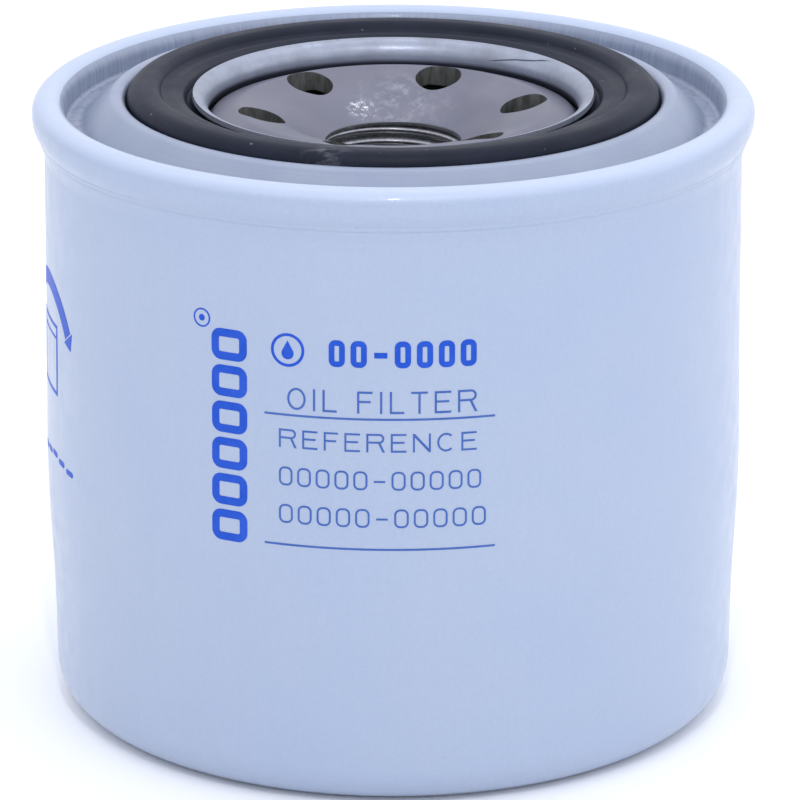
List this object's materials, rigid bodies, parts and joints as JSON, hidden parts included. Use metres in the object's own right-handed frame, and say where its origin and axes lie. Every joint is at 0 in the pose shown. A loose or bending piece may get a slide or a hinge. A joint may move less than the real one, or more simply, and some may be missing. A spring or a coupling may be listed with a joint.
{
  "type": "spin-on oil filter",
  "caption": "Spin-on oil filter: seamed steel can with a gasketed lid, tapping plate with inlet holes and threaded hub, pleated element, anti-drainback valve and bypass valve.",
  "frame": {"origin": "centre of the can's closed end, on the plane that the stand ring rests on", "axes": "+Z along the filter's axis, from the closed end to the threaded end; the printed side of the can faces -Y"},
  "size_m": [0.0936, 0.0936, 0.0829],
  "materials": {
    "can_paint": "smooth bluish-white enamel, semi-gloss",
    "lid_steel": "thin pale coat over pressed steel, satin",
    "plate_steel": "grey phosphated steel, satin, worn bright near the hub",
    "gasket_rubber": "moulded nitrile, matt",
    "seam_compound": "cured sealing compound",
    "valve_rubber": "moulded nitrile, matt",
    "cap_steel": "tinplate",
    "potting": "cured plastisol",
    "filter_paper": "resin-treated pleated paper",
    "plain_steel": "bright strip steel",
    "spring_steel": "drawn spring wire"
  },
  "bodies": {
    "shell": {"canister": "can_paint", "seaming_lid": "lid_steel", "seam_compound": "seam_compound", "sealing_gasket": "gasket_rubber", "tapping_plate": "plate_steel", "element_spring": "spring_steel"},
    "element": {"upper_end_cap": "cap_steel", "lower_end_cap": "cap_steel", "upper_potting": "potting", "lower_potting": "potting", "filter_media": "filter_paper", "media_seam_clip": "plain_steel", "centre_tube": "plain_steel", "bypass_seat_plate": "plain_steel", "bypass_cage": "cap_steel", "bypass_spring": "spring_steel", "spring_seat": "cap_steel"},
    "poppet": {"bypass_poppet": "plain_steel", "bypass_seal": "valve_rubber"},
    "drainback_skirt": {"anti_drainback_valve": "valve_rubber"}
  },
  "joints": [
    {"name": "element_float", "type": "slide", "parent": "shell", "child": "element", "axis": [0, 0, -1], "range_m": [0, 0.0015], "stiffness_N_per_m": 6000, "springref_m": -0.004, "deforming": ["element_spring"]},
    {"name": "bypass_lift", "type": "slide", "parent": "element", "child": "poppet", "axis": [0, 0, 1], "range_m": [0, 0.003], "stiffness_N_per_m": 2500, "springref_m": -0.004, "deforming": ["bypass_spring"]},
    {"name": "drainback_open", "type": "slide", "parent": "shell", "child": "drainback_skirt", "axis": [0, 0, -1], "range_m": [0, 0.001], "stiffness_N_per_m": 400, "springref_m": -0.001, "deforming": ["anti_drainback_valve"]}
  ]
}
